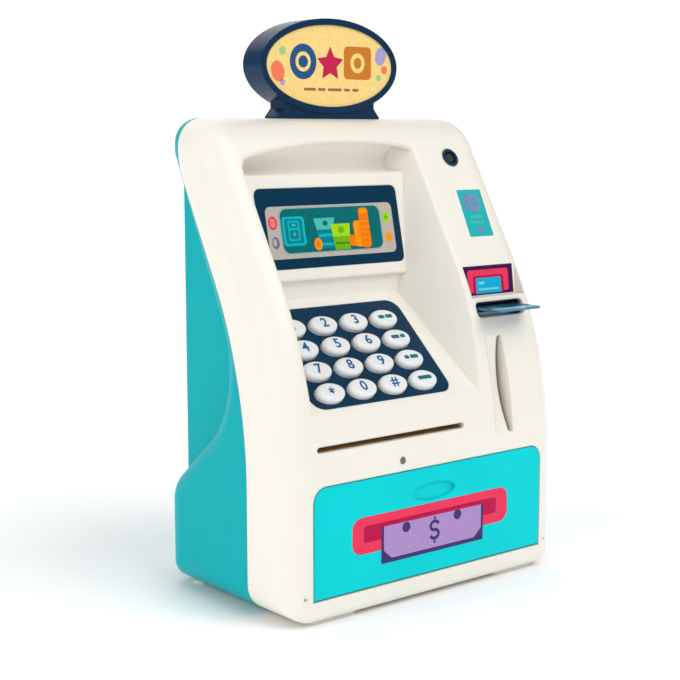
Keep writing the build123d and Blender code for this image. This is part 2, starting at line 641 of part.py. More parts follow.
with BuildPart() as drive_shaft:
    rod(SIDE.offset(NOTE_LEFT - 4), SHAFT_R, GEAR_X + GEAR_W / 2 + 1 - NOTE_LEFT + 4, DRIVE_Y, DRIVE_Z)
export(drive_shaft, "drive_shaft")

with BuildPart() as pinch_roller:
    rod(SIDE.offset(ROLLER_LEFT), PINCH_R, ROLLER_LEN, DRIVE_Y, PINCH_Z)
    rod(SIDE.offset(NOTE_LEFT - 4), SHAFT_R, NOTE_W + 8, DRIVE_Y, PINCH_Z)
export(pinch_roller, "pinch_roller")

GEARS = (("roller_gear", DRIVE_Y, GEAR_TEETH, SHAFT_R, 0.0),
         ("motor_pinion", PINION_Y, PINION_TEETH, 1.0, 180.0 / PINION_TEETH))
for name, gear_y, teeth, bore, phase in GEARS:
    root, tip = teeth / 2 - 1.15, teeth / 2 + 0.85
    with BuildPart() as gear:
        with BuildSketch(SIDE.offset(GEAR_X - GEAR_W / 2)):
            with Locations((gear_y, DRIVE_Z)):
                Circle(root)
                with PolarLocations((root + tip) / 2 - 0.1, teeth, start_angle=phase):
                    Trapezoid(1.9, tip - root + 0.2, 72, rotation=-90)
                Circle(bore, mode=Mode.SUBTRACT)
        extrude(amount=GEAR_W)
    export(gear, name)

MOTOR_X, MOTOR_LEN, MOTOR_R = GEAR_X + GEAR_W / 2 + 2.0, 15.0, 7.8
PINION_LEFT = GEAR_X - GEAR_W / 2 - 0.5
with BuildPart() as motor:
    rod(SIDE.offset(MOTOR_X), MOTOR_R, MOTOR_LEN, PINION_Y, DRIVE_Z)
    rod(SIDE.offset(MOTOR_X - 0.8), 2.4, 0.8, PINION_Y, DRIVE_Z)
    rod(SIDE.offset(MOTOR_X - 0.8), 1.0 + RUNNING, 7.0, PINION_Y, DRIVE_Z, Mode.SUBTRACT)
export(motor, "motor")

with BuildPart() as motor_shaft:
    rod(SIDE.offset(PINION_LEFT), 1.0, MOTOR_X + 5.5 - PINION_LEFT, PINION_Y, DRIVE_Z)
export(motor_shaft, "motor_shaft")

# ---- money door, its lock and the cash bin ---------------------------------------------------
PIN_IN, PIN_OUT = 6.0, 3.6      # length of a hinge pin inside the door and beside it
with BuildPart() as door:
    with BuildSketch(upright(FRONT)) as door_face:
        with Locations((0, DOOR_MID)):
            Rectangle(DOOR_W, DOOR_HIGH - DOOR_LOW)
        fillet(door_face.vertices().group_by(Axis.Y)[-1], 6.1)
    extrude(amount=-DOOR_T)
    fillet(door.edges().filter_by(Axis.X).group_by(Axis.Z)[0], 1.1)
    # finger recess at the top
    with BuildSketch(upright(FRONT)):
        with Locations((0, RECESS_Z)):
            Ellipse(RECESS_W / 2, RECESS_H / 2)
    extrude(amount=-1.3, mode=Mode.SUBTRACT)
    # stiffening frame and the keeper of the lock bolt
    with BuildSketch(upright(FRONT + DOOR_T)):
        with Locations((0, DOOR_MID)):
            Rectangle(DOOR_W - 12, DOOR_HIGH - DOOR_LOW - 14)
            Rectangle(DOOR_W - 15, DOOR_HIGH - DOOR_LOW - 17, mode=Mode.SUBTRACT)
    extrude(amount=-1.5)
    block((LOCK_X - 4.5, LOCK_X + 4.5), (FRONT + DOOR_T - 0.5, LOCK_Y + 3.2), (51.0, 54.0))
    with BuildSketch(Plane.XY.offset(50)):
        with Locations((LOCK_X, LOCK_Y)):
            Circle(1.9)
    extrude(amount=6, mode=Mode.SUBTRACT)
    for hand in (-1, 1):
        rod(SIDE.offset(hand * (DOOR_W / 2 - PIN_IN / 2) - PIN_IN / 2), HINGE_R, PIN_IN,
            HINGE_Y, HINGE_Z, Mode.SUBTRACT)
export(door, "door")

with BuildPart() as hinge_pins:
    for left_end in (-DOOR_W / 2 - PIN_OUT, DOOR_W / 2 - PIN_IN):
        rod(SIDE.offset(left_end), HINGE_R, PIN_IN + PIN_OUT, HINGE_Y, HINGE_Z)
export(hinge_pins, "hinge_pins")

BOLT_R, BOLT_LOW, BOLT_HIGH = 1.4, 54.8, 64.0
with BuildPart() as lock_solenoid:
    block((LOCK_X - 6, LOCK_X + 6), (FRONT + 2.6, LOCK_Y + 3.4), (57.8, 60.6))
    block((LOCK_X - 5, LOCK_X + 5), (FRONT + 3.0, LOCK_Y + 3.0), (60.6, 68.6))
    with BuildSketch(Plane.XY.offset(57)):
        with Locations((LOCK_X, LOCK_Y)):
            Circle(BOLT_R + RUNNING)
    extrude(amount=10, mode=Mode.SUBTRACT)
export(lock_solenoid, "lock_solenoid")

with BuildPart() as lock_bolt:
    with BuildSketch(Plane.XY.offset(BOLT_LOW)):
        with Locations((LOCK_X, LOCK_Y)):
            Circle(BOLT_R)
    extrude(amount=BOLT_HIGH - BOLT_LOW)
    chamfer(lock_bolt.faces().sort_by(Axis.Z)[0].edges(), 0.4)
export(lock_bolt, "lock_bolt")

BIN_X, BIN_FRONT, BIN_BACK, BIN_LOW, BIN_HIGH = 62.0, FRONT + 6.0, 32.0, 4.2, 54.0
with BuildPart() as cash_bin:
    block((-BIN_X, BIN_X), (BIN_FRONT, BIN_BACK), (BIN_LOW + 4.4, BIN_HIGH))
    block((-BIN_X + 1.6, BIN_X - 1.6), (BIN_FRONT - 1, BIN_BACK - 1.6), (BIN_LOW + 6.0, BIN_HIGH + 1),
          Mode.SUBTRACT)
    for hand in (-1, 1):
        block((hand * 45 - 4, hand * 45 + 4), (BIN_FRONT + 8, BIN_BACK - 8), (BIN_LOW - 0.4, BIN_LOW + 4.4))
export(cash_bin, "cash_bin")

# ---- electronics and power -------------------------------------------------------------------
with BuildPart() as main_board:
    block((BOARD_LEFT, BOARD_RIGHT), (BOARD_Y, BOARD_Y + BOARD_T), (BOARD_LOW, BOARD_TOP))
    block((-38, -16), (20.0, 23.0), (140, 162))
    block((0, 14), (20.6, 23.0), (150, 164))
    block((-10, 12), (20.2, 23.0), (130, 136))
export(main_board, "main_board")

with BuildPart() as speaker:
    with BuildSketch(upright(REAR - WALL - 0.2)):
        with Locations((0, SPEAKER_Z)):
            Circle(SPEAKER_R)
            Circle(SPEAKER_R - 1.6, mode=Mode.SUBTRACT)
    extrude(amount=3.0)
    post(0, SPEAKER_Z, REAR - WALL - 3.2, REAR - WALL - 5.4, SPEAKER_R)
    post(0, SPEAKER_Z, REAR - WALL - 5.4, REAR - WALL - 10.0, SPEAKER_R * 0.62)
export(speaker, "speaker")

BOX_BACK, BOX_FRONT = REAR - WALL - 0.05, 23.5
CELL_Y = (BOX_BACK + BOX_FRONT + 1.5) / 2
with BuildPart() as battery_box:
    block((-29.0, 29.0), (BOX_FRONT, BOX_BACK), (BATTERY_Z - 24.5, BATTERY_Z + 24.5))
    block((-35.0, 35.0), (BOX_BACK - 1.5, BOX_BACK), (BATTERY_Z - 31.0, BATTERY_Z + 31.0))
    post(0, COVER_SCREW_Z, BOX_BACK - 9.5, BOX_BACK, 3.0)
    block((-27.4, 27.4), (BOX_FRONT + 1.5, BOX_BACK + 1), (BATTERY_Z - 23.0, BATTERY_Z + 23.0), Mode.SUBTRACT)
    post(0, COVER_SCREW_Z, BOX_BACK - 8.5, BOX_BACK + 1, PILOT_R, Mode.SUBTRACT)
export(battery_box, "battery_box")

with BuildPart() as batteries:
    for step in (-1, 0, 1):
        rod(SIDE.offset(-CELL_LEN / 2), CELL_R, CELL_LEN, CELL_Y, BATTERY_Z + step * CELL_PITCH)
        rod(SIDE.offset(CELL_LEN / 2), 2.7, 1.2, CELL_Y, BATTERY_Z + step * CELL_PITCH)
export(batteries, "batteries")

with BuildPart() as battery_contacts:
    for hand in (-1, 1):
        inner = CELL_LEN / 2 + (1.25 if hand > 0 else 0.05)
        for step in (-1, 0, 1):
            z = BATTERY_Z + step * CELL_PITCH
            ends = sorted((hand * 27.35, hand * inner))
            block(ends, (CELL_Y - 4, CELL_Y + 4), (z - 4, z + 4))
export(battery_contacts, "battery_contacts")

with BuildPart() as battery_cover:
    with BuildSketch(upright(REAR)):
        with Locations((0, BATTERY_Z)):
            RectangleRounded(COVER_W, COVER_H, 2.6)
    extrude(amount=WALL)
    post(0, COVER_SCREW_Z, REAR + 1, REAR - 1.2, SCREW_HEAD_R + 0.1, Mode.SUBTRACT)
    post(0, COVER_SCREW_Z, REAR + 1, REAR - 9, SCREW_R, Mode.SUBTRACT)
export(battery_cover, "battery_cover")

with BuildPart() as cover_screw:
    post(0, COVER_SCREW_Z, REAR - 9.0, REAR - 1.2, PILOT_R)
    post(0, COVER_SCREW_Z, REAR - 1.2, REAR - 0.2, SCREW_HEAD_R)
export(cover_screw, "cover_screw")

with BuildPart() as power_switch:
    block((SWITCH_X - 10, SWITCH_X + 10), (REAR - WALL - 7, REAR - WALL - 0.05),
          (SWITCH_Z - 3.6, SWITCH_Z + 3.6))
    block((SWITCH_X - 4.4, SWITCH_X + 4.4), (REAR - WALL - 3, REAR), (SWITCH_Z - 2.0, SWITCH_Z + 2.0),
          Mode.SUBTRACT)
export(power_switch, "power_switch")

with BuildPart() as switch_knob:
    block((SWITCH_X - 4.0, SWITCH_X + 0.4), (REAR - WALL - 2.7, REAR - 0.1), (SWITCH_Z - 1.7, SWITCH_Z + 1.7))
export(switch_knob, "switch_knob")

with BuildPart() as case_screws:
    for x, z, _ in SCREWS:
        seat = seam_y(z) + SCREW_SEAT
        post(x, z, seam_y(z) - 8.0, seat, PILOT_R)
        post(x, z, seat, seat + 1.8, SCREW_HEAD_R)
export(case_screws, "case_screws")
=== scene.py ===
from math import cos, pi, radians, sin, tan, tau

import bpy
from mathutils import Matrix, Vector


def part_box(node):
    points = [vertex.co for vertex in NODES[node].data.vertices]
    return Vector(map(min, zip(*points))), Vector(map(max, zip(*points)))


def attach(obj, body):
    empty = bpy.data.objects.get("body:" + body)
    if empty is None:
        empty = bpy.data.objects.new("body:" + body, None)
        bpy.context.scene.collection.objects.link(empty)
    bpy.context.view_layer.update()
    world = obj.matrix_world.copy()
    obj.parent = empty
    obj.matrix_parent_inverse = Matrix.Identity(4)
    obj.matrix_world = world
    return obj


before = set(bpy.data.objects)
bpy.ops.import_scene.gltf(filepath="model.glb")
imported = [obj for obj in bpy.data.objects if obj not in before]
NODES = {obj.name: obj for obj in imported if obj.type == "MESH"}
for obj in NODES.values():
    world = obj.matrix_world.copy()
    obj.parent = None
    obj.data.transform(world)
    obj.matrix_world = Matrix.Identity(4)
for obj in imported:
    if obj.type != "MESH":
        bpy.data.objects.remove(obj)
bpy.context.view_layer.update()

# ---- named values of the CAD, millimetres -----------------------------------------------------
MM = 0.001
FRONT, BEND_Z, BEND_R, LEAN = -45.0, 52.0, 175.0, 30.0
KEY_TILT, KEY_PITCH_X, KEY_PITCH_UP, KEY_TOP = 42.4, 16.8, 11.5, 2.9
KEYS_LEFT_OF_PANEL, KEYS_BELOW_PANEL, PANEL_HALF = 1.7, 2.25, 0.4
SCREEN_TILT, WINDOW_LOW, WINDOW_H, WINDOW_HALF = 12.3, 5.7, 34.2, 0.6
POCKET_LOW, POCKET_HIGH, POCKET_TILT = 123.4, 137.0, 7.0
PRINT, SUNK = 0.05, 0.03        # height of one printed layer, and how far a print reaches into its piece


def front_y(z):
    """Y of the front face at height z."""
    lean_z = BEND_Z + BEND_R * sin(radians(LEAN))
    if z <= BEND_Z:
        return FRONT
    if z <= lean_z:
        return FRONT + BEND_R * (1 - (1 - ((z - BEND_Z) / BEND_R) ** 2) ** 0.5)
    return FRONT + BEND_R * (1 - cos(radians(LEAN))) + (z - lean_z) * tan(radians(LEAN))


def leaning(origin, tilt, up=0.0, out=0.0):
    """Matrix of a face that leans back by tilt degrees, moved up its slope and out, all in mm."""
    slope = Vector((0, sin(radians(tilt)), cos(radians(tilt))))
    normal = Vector((0, -cos(radians(tilt)), sin(radians(tilt))))
    place = (Vector(origin) + slope * up + normal * out) * MM
    rotation = Matrix(((1, slope.x, normal.x), (0, slope.y, normal.y), (0, slope.z, normal.z)))
    return Matrix.Translation(place) @ rotation.to_4x4()


def middle(node):
    """Middle of a piece's box, in mm."""
    low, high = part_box(node)
    return (low + high) / 2 / MM


# ---- materials --------------------------------------------------------------------------------
def linear(rgb):
    """Linear colour from 0-255 display values."""
    channels = [c / 255 for c in rgb]
    return [c / 12.92 if c <= 0.04045 else ((c + 0.055) / 1.055) ** 2.4 for c in channels]


class Graph:
    """A material's node tree with short helpers."""

    def __init__(self, name):
        self.mat = bpy.data.materials.new(name)
        self.mat.use_nodes = True
        self.nodes = self.mat.node_tree.nodes
        self.links = self.mat.node_tree.links
        self.shader = self.nodes["Principled BSDF"]
        self.coords = self.nodes.new("ShaderNodeTexCoord").outputs["Object"]

    def noise(self, scale, detail=3.0, rough=0.5):
        node = self.nodes.new("ShaderNodeTexNoise")
        node.inputs["Scale"].default_value = scale
        node.inputs["Detail"].default_value = detail
        node.inputs["Roughness"].default_value = rough
        self.links.new(self.coords, node.inputs["Vector"])
        return node.outputs["Fac"]

    def remap(self, value, low, high, from_low=0.3, from_high=0.7):
        node = self.nodes.new("ShaderNodeMapRange")
        node.inputs["From Min"].default_value = from_low
        node.inputs["From Max"].default_value = from_high
        node.inputs["To Min"].default_value = low
        node.inputs["To Max"].default_value = high
        self.links.new(value, node.inputs["Value"])
        return node.outputs["Result"]

    def blend(self, factor, first, second):
        node = self.nodes.new("ShaderNodeMix")
        node.data_type = "RGBA"
        self.links.new(factor, node.inputs["Factor"])
        for value, socket in ((first, node.inputs["A"]), (second, node.inputs["B"])):
            if isinstance(value, (list, tuple)):
                socket.default_value = (*value[:3], 1.0)
            else:
                self.links.new(value, socket)
        return node.outputs["Result"]

    def bump(self, height, strength, distance, soft_edge=0.0):
        node = self.nodes.new("ShaderNodeBump")
        node.inputs["Strength"].default_value = strength
        node.inputs["Distance"].default_value = distance
        self.links.new(height, node.inputs["Height"])
        if soft_edge:
            bevel = self.nodes.new("ShaderNodeBevel")
            bevel.samples = 4
            bevel.inputs["Radius"].default_value = soft_edge
            self.links.new(bevel.outputs["Normal"], node.inputs["Normal"])
        self.links.new(node.outputs["Normal"], self.shader.inputs["Normal"])


def moulded(name, rgb, rough=0.32, grain=1400.0, relief=0.10, soft_edge=0.0, spread=0.05, coat=0.0, shine=0.5):
    """Injection-moulded plastic: fine spark-eroded grain, uneven gloss and a slight drift of colour."""
    g = Graph(name)
    base = linear(rgb)
    drift = g.remap(g.noise(38.0, 1.0), 0.0, 1.0)
    g.links.new(g.blend(drift, [c * (1 - spread) for c in base], [min(1.0, c * (1 + spread)) for c in base]),
                g.shader.inputs["Base Color"])
    g.links.new(g.remap(g.noise(70.0, 1.0), rough - 0.02, rough + 0.03), g.shader.inputs["Roughness"])
    g.shader.inputs["Specular IOR Level"].default_value = shine
    g.shader.inputs["Coat Weight"].default_value = coat
    g.shader.inputs["Coat Roughness"].default_value = 0.08
    g.bump(g.noise(grain, 2.0), relief, 0.00006, soft_edge)
    return g.mat


def printed(name, rgb, rough):
    """Pad-printed ink: a fine screen grain and slightly uneven cover."""
    g = Graph(name)
    base = linear(rgb)
    cover = g.remap(g.noise(900.0, 3.0), 0.0, 1.0)
    g.links.new(g.blend(cover, [c * 0.93 for c in base], [min(1.0, c * 1.05) for c in base]),
                g.shader.inputs["Base Color"])
    g.links.new(g.remap(g.noise(240.0), rough - 0.05, rough + 0.07), g.shader.inputs["Roughness"])
    g.shader.inputs["Specular IOR Level"].default_value = 0.12
    g.bump(g.noise(2600.0, 2.0), 0.08, 0.00004)
    return g.mat


def metal(name, rgb, rough=0.3, stretch=(1.0, 12.0, 12.0)):
    """Drawn or plated metal with fine lines along one direction."""
    g = Graph(name)
    g.shader.inputs["Metallic"].default_value = 1.0
    scale = g.nodes.new("ShaderNodeMapping")
    scale.inputs["Scale"].default_value = stretch
    g.links.new(g.coords, scale.inputs["Vector"])
    g.coords = scale.outputs["Vector"]
    base = linear(rgb)
    lines = g.noise(420.0, 4.0)
    g.links.new(g.blend(g.remap(lines, 0.0, 1.0), [c * 0.82 for c in base], base),
                g.shader.inputs["Base Color"])
    g.links.new(g.remap(lines, rough - 0.07, rough + 0.1), g.shader.inputs["Roughness"])
    g.bump(lines, 0.12, 0.00004)
    return g.mat


def rubber(name, rgb):
    """Matt silicone rubber with a fine skin."""
    return moulded(name, rgb, 0.62, 2200.0, 0.22, 0.0002, 0.07)


def board(name):
    """Solder-masked circuit board with its weave and tracks."""
    g = Graph(name)
    tracks = g.nodes.new("ShaderNodeTexBrick")
    tracks.inputs["Scale"].default_value = 95.0
    tracks.inputs["Mortar Size"].default_value = 0.035
    tracks.inputs["Color1"].default_value = (0.010, 0.105, 0.045, 1)
    tracks.inputs["Color2"].default_value = (0.008, 0.085, 0.038, 1)
    tracks.inputs["Mortar"].default_value = (0.035, 0.200, 0.085, 1)
    g.links.new(g.coords, tracks.inputs["Vector"])
    g.links.new(tracks.outputs["Color"], g.shader.inputs["Base Color"])
    g.links.new(g.remap(g.noise(300.0), 0.25, 0.42), g.shader.inputs["Roughness"])
    g.bump(g.noise(1500.0), 0.15, 0.00005)
    return g.mat


def glass(name, rgb, rough=0.05):
    """Polished dark lens or tinted epoxy."""
    g = Graph(name)
    g.links.new(g.blend(g.remap(g.noise(90.0), 0.0, 1.0), linear(rgb), [c * 1.6 for c in linear(rgb)]),
                g.shader.inputs["Base Color"])
    g.links.new(g.remap(g.noise(200.0), rough, rough + 0.05), g.shader.inputs["Roughness"])
    g.shader.inputs["Coat Weight"].default_value = 1.0
    g.shader.inputs["Coat Roughness"].default_value = 0.03
    return g.mat


WHITE = moulded("white_shell", (241, 236, 226), 0.32, soft_edge=0.0012, spread=0.006, relief=0.04)
TEAL = moulded("teal_shell", (0, 171, 178), 0.36, soft_edge=0.0010, spread=0.02, relief=0.08, shine=0.08)
DOOR = moulded("door", (0, 211, 216), 0.30, soft_edge=0.0007, spread=0.02, relief=0.06, shine=0.07)
NAVY = moulded("navy", (0, 44, 76), 0.26, soft_edge=0.0005, spread=0.08, shine=0.18)
NAVY_PRINT = moulded("navy_print", (0, 50, 78), 0.26, soft_edge=0.0003, spread=0.08, shine=0.12)
CREAM = printed("sign_face", (250, 216, 136), 0.34)
KEYCAP = moulded("keys", (232, 234, 234), 0.24, soft_edge=0.0003, spread=0.01, relief=0.05)
FEET = rubber("feet", (216, 213, 205))
RUBBER = rubber("rubber", (38, 38, 42))
BOARD = board("board")
LENS = glass("glass", (8, 9, 20))
CARD = moulded("card", (18, 112, 160), 0.16, 2600.0, 0.04, 0.0001, 0.06, coat=0.6)
BLACK = moulded("inner_plastic", (46, 46, 48), 0.5, spread=0.08)
GUIDE = moulded("guide_plastic", (226, 190, 132), 0.5, spread=0.06)
INNER = moulded("inner_white", (226, 222, 210), 0.45, spread=0.03)
CHUTE = moulded("chute_plastic", (214, 200, 160), 0.5, spread=0.05)
STEEL = metal("steel", (190, 192, 196))
BRASS = metal("brass", (214, 178, 98))
CELLS = metal("cells", (196, 132, 40), 0.34)
LED = glass("led", (84, 70, 50), 0.15)

by_node = {
    "front_shell": WHITE, "rear_shell": TEAL, "feet": FEET, "sign_housing": NAVY, "sign_back": NAVY,
    "sign_face": CREAM, "screen_window": NAVY_PRINT, "lcd_panel": BLACK, "keypad_panel": NAVY_PRINT,
    "key_membrane": RUBBER, "keypad_board": BOARD, "lens_ring": NAVY, "lens": LENS, "card": CARD,
    "card_guide": BLACK, "card_switch": BLACK, "status_led": LED, "coin_chute": CHUTE, "note_guide": GUIDE,
    "drive_roller": RUBBER, "drive_shaft": STEEL, "pinch_roller": GUIDE, "roller_gear": INNER,
    "motor_pinion": INNER, "motor": STEEL, "motor_shaft": STEEL, "door": DOOR, "hinge_pins": STEEL,
    "lock_solenoid": STEEL, "lock_bolt": STEEL, "cash_bin": INNER, "main_board": BOARD, "speaker": BLACK,
    "battery_box": BLACK, "batteries": CELLS, "battery_contacts": BRASS, "battery_cover": TEAL,
    "power_switch": BLACK, "switch_knob": BLACK, "case_screws": STEEL, "cover_screw": STEEL,
}
for name, node in NODES.items():
    mat = by_node.get(name, KEYCAP if name.startswith("key_") else BLACK)
    node.data.materials.clear()
    node.data.materials.append(mat)
    for face in node.data.polygons:
        face.material_index = 0

INK_COLOURS = {                 # display colour and roughness
    "pink": ((238, 56, 92), 0.38), "crimson": ((190, 8, 74), 0.38), "lilac": ((174, 142, 198), 0.38),
    "purple": ((66, 48, 112), 0.38), "blue": ((38, 84, 134), 0.38), "red": ((200, 32, 78), 0.38),
    "orange": ((206, 122, 44), 0.38), "coral": ((246, 124, 92), 0.38), "green": ((158, 206, 138), 0.38),
    "brown": ((150, 112, 84), 0.38), "digit": ((24, 96, 146), 0.38), "mark": ((20, 112, 124), 0.38),
    "bezel": ((188, 180, 170), 0.3), "rim": ((150, 176, 174), 0.3), "display": ((0, 106, 108), 0.25),
    "cyan": ((0, 182, 196), 0.25), "deep": ((0, 128, 140), 0.25), "pale": ((70, 190, 176), 0.25),
    "lime": ((164, 216, 28), 0.25), "leaf": ((112, 178, 16), 0.25), "moss": ((66, 128, 24), 0.25),
    "amber": ((255, 150, 8), 0.25), "tangerine": ((250, 120, 0), 0.25), "sticker": ((24, 176, 182), 0.38),
    "mauve": ((118, 108, 160), 0.38), "sky": ((120, 214, 218), 0.38), "dusk": ((104, 142, 176), 0.38),
    "haze": ((136, 140, 178), 0.38), "haze_light": ((170, 162, 208), 0.38), "azure": ((0, 176, 222), 0.38),
    "plum": ((58, 12, 78), 0.38), "navy": ((8, 44, 84), 0.38),
}
INK = {name: printed("ink_" + name, rgb, rough) for name, (rgb, rough) in INK_COLOURS.items()}


# ---- outlines and plates ----------------------------------------------------------------------
def oval(x, y, a, b=None, turn=0.0, steps=40):
    """Ellipse about (x, y) with half axes a and b, turned by an angle in radians."""
    b = a if b is None else b
    points = []
    for i in range(steps):
        u, v = a * cos(tau * i / steps), b * sin(tau * i / steps)
        points.append((x + u * cos(turn) - v * sin(turn), y + u * sin(turn) + v * cos(turn)))
    return points


def rounded(left, right, low, high, r=0.5, steps=6):
    """Rectangle between its limits, with rounded corners."""
    corners = ((right - r, high - r, 0), (left + r, high - r, 1),
               (left + r, low + r, 2), (right - r, low + r, 3))
    points = []
    for x, y, quarter in corners:
        for i in range(steps + 1):
            angle = (quarter + i / steps) * pi / 2
            points.append((x + r * cos(angle), y + r * sin(angle)))
    return points


def star(x, y, outer, inner, tips=5):
    """Star about (x, y) with one tip upwards."""
    points = []
    for i in range(2 * tips):
        reach = inner if i % 2 else outer
        points.append((x + reach * sin(pi * i / tips), y + reach * cos(pi * i / tips)))
    return points


def stroke(points, half):
    """Outline of a line of even width drawn through points."""
    sides = ([], [])
    for i, (x, y) in enumerate(points):
        before, after = points[max(i - 1, 0)], points[min(i + 1, len(points) - 1)]
        run, rise = after[0] - before[0], after[1] - before[1]
        length = (run * run + rise * rise) ** 0.5
        sides[0].append((x - half * rise / length, y + half * run / length))
        sides[1].append((x + half * rise / length, y - half * run / length))
    return sides[0] + sides[1][::-1]


def to_mesh(obj, name):
    """Mesh object made from a curve or text object in millimetres, which is then removed."""
    bpy.context.scene.collection.objects.link(obj)
    bpy.context.view_layer.update()
    mesh = bpy.data.meshes.new_from_object(obj.evaluated_get(bpy.context.evaluated_depsgraph_get()))
    bpy.data.objects.remove(obj)
    mesh.name = name
    mesh.transform(Matrix.Scale(MM, 4))
    made = bpy.data.objects.new(name, mesh)
    bpy.context.scene.collection.objects.link(made)
    return made


def finish_print(made, matrix, mat, body):
    """Give a print its material, place and body."""
    made.data.materials.clear()
    made.data.materials.append(mat)
    made.matrix_world = matrix
    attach(made, body)
    return made


def plate(name, outlines, matrix, layer, mat, body):
    """Flat print or thin plate from closed outlines in mm; an outline inside another is a hole."""
    curve = bpy.data.curves.new(name, "CURVE")
    curve.dimensions = "2D"
    curve.fill_mode = "BOTH"
    for points in outlines:
        spline = curve.splines.new("POLY")
        spline.points.add(len(points) - 1)
        for point, (x, y) in zip(spline.points, points):
            point.co = (x, y, 0, 1)
        spline.use_cyclic_u = True
    top = layer * PRINT
    curve.extrude = (top + SUNK) / 2
    made = to_mesh(bpy.data.objects.new(name, curve), name)
    made.data.transform(Matrix.Translation((0, 0, (top - SUNK) / 2 * MM)))
    return finish_print(made, matrix, mat, body)


def lettered(name, text, size, matrix, mat, body):
    """A printed digit or sign in the default typeface, centred."""
    font = bpy.data.curves.new(name, "FONT")
    font.body = text
    font.size = size
    font.align_x = "CENTER"
    font.align_y = "CENTER"
    font.offset = size * 0.022
    font.extrude = PRINT
    return finish_print(to_mesh(bpy.data.objects.new(name, font), name), matrix, mat, body)


# ---- door print -------------------------------------------------------------------------------
door_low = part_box("door")[0].y / MM
door_face = leaning((0, door_low, 0), 0)
plate("door_plate", [rounded(-45, 44, 25.6, 41, 4.8)], door_face, 1, INK["pink"], "door")
plate("door_plate_slot", [rounded(-39, 37, 30.2, 37.2, 1.4)], door_face, 2, INK["crimson"], "door")
plate("note_edge", [rounded(-29.5, 29, 19.6, 36, 0.6)], door_face, 3, INK["purple"], "door")
plate("note_print", [rounded(-28.2, 27.7, 21.4, 36, 0.4)], door_face, 4, INK["lilac"], "door")
plate("note_corners", [[(-28.2, 21.4), (-24.0, 21.4), (-28.2, 25.0)],
                       [(27.7, 21.4), (27.7, 25.0), (23.5, 21.4)]],
      door_face, 5, INK["purple"], "door")
plate("note_dots", [oval(-15.9, 33.0, 2.2), oval(13.5, 33.4, 2.2)], door_face, 5, INK["purple"], "door")
plate("note_slot_shade", [rounded(-29.5, 29, 35.4, 36.6, 0.5)], door_face, 6, INK["crimson"], "door")
NOTE_SIGN_X, NOTE_SIGN_Z, CURL_X, CURL_Z = 0.2, 29.0, 2.3, 1.85
BAR_LEFT, BAR_RIGHT = NOTE_SIGN_X - 0.6, NOTE_SIGN_X + 0.6
curl = []
for turns, middle_z in ((range(15, 271, 15), 1), (range(75, -166, -15), -1)):
    for degrees in turns:
        curl.append((NOTE_SIGN_X + CURL_X * cos(radians(degrees)),
                     NOTE_SIGN_Z + CURL_Z * (middle_z + sin(radians(degrees)))))
plate("note_sign", [stroke(curl, 0.7), rounded(BAR_LEFT, BAR_RIGHT, 33.6, 34.8, 0.3),
                    rounded(BAR_LEFT, BAR_RIGHT, 23.2, 24.4, 0.3)],
      door_face, 5, INK["purple"], "door")

# ---- sign print -------------------------------------------------------------------------------
sign_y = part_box("sign_face")[0].y / MM
sign_face = leaning((0, sign_y, 0), 0)
for label, outlines, ink in (
        ("sign_coin", [oval(-15.4, 225.7, 7.3, 7.6), oval(-15.4, 225.7, 4.2, 4.3),
                       oval(-15.4, 225.7, 2.6)], "blue"),
        ("sign_star", [star(-0.3, 224.9, 7.7, 3.9)], "red"),
        ("sign_notes", [rounded(7.5, 23.3, 218.6, 233.0, 2.2), oval(15.4, 225.8, 4.2, 4.4)], "orange"),
        ("sign_notes_dot", [oval(15.4, 225.8, 2.2, 2.4)], "orange"),
        ("balloon_left", [oval(-29.2, 221.3, 3.5, 4.5, 0.3)], "coral"),
        ("dot_left_top", [oval(-26.6, 230.0, 1.8)], "green"),
        ("dot_left_low", [oval(-26.6, 216.6, 1.3)], "haze_light"),
        ("balloon_right", [oval(29.0, 229.2, 3.2, 4.2, -0.3)], "haze_light"),
        ("dot_right", [oval(31.2, 223.2, 1.8)], "coral"),
        ("dot_right_low", [oval(27.8, 219.6, 1.5)], "green"),
        ("sign_dashes", [rounded(x, x + w, 213.3, 214.5, 0.5) for x, w in
                         ((-15.0, 6.6), (-7.2, 4.2), (-1.6, 7.8), (7.6, 3.4), (12.4, 3.6))], "brown")):
    plate(label, outlines, sign_face, 1, INK[ink], "body")

